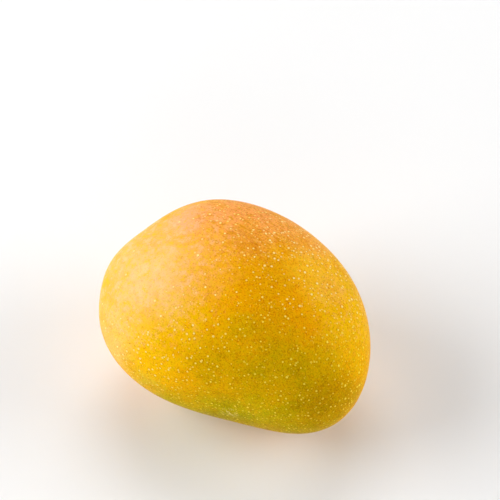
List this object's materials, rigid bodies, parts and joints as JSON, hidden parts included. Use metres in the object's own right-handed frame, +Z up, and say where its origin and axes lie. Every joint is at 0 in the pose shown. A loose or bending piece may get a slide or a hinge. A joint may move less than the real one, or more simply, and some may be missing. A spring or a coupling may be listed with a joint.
{
  "type": "mango",
  "caption": "Whole ripe mango, oblique egg shape with a full belly, a sinus above the beak and a dry stalk scar, lying on its cheek on a small flat spot.",
  "frame": {"origin": "under the middle of the fruit's bounding box, in the plane that it rests on", "axes": "+X from the stem end towards the tip, +Y towards the fruit's back, +Z up through its cheeks"},
  "size_m": [0.0956, 0.0776, 0.0679],
  "materials": {
    "mango_skin": "satin waxy fruit skin, golden orange with green zones on the belly and tip, a pink blush towards the stem end and small pale lenticels"
  },
  "bodies": {
    "root": {"mango": "mango_skin"}
  },
  "joints": []
}
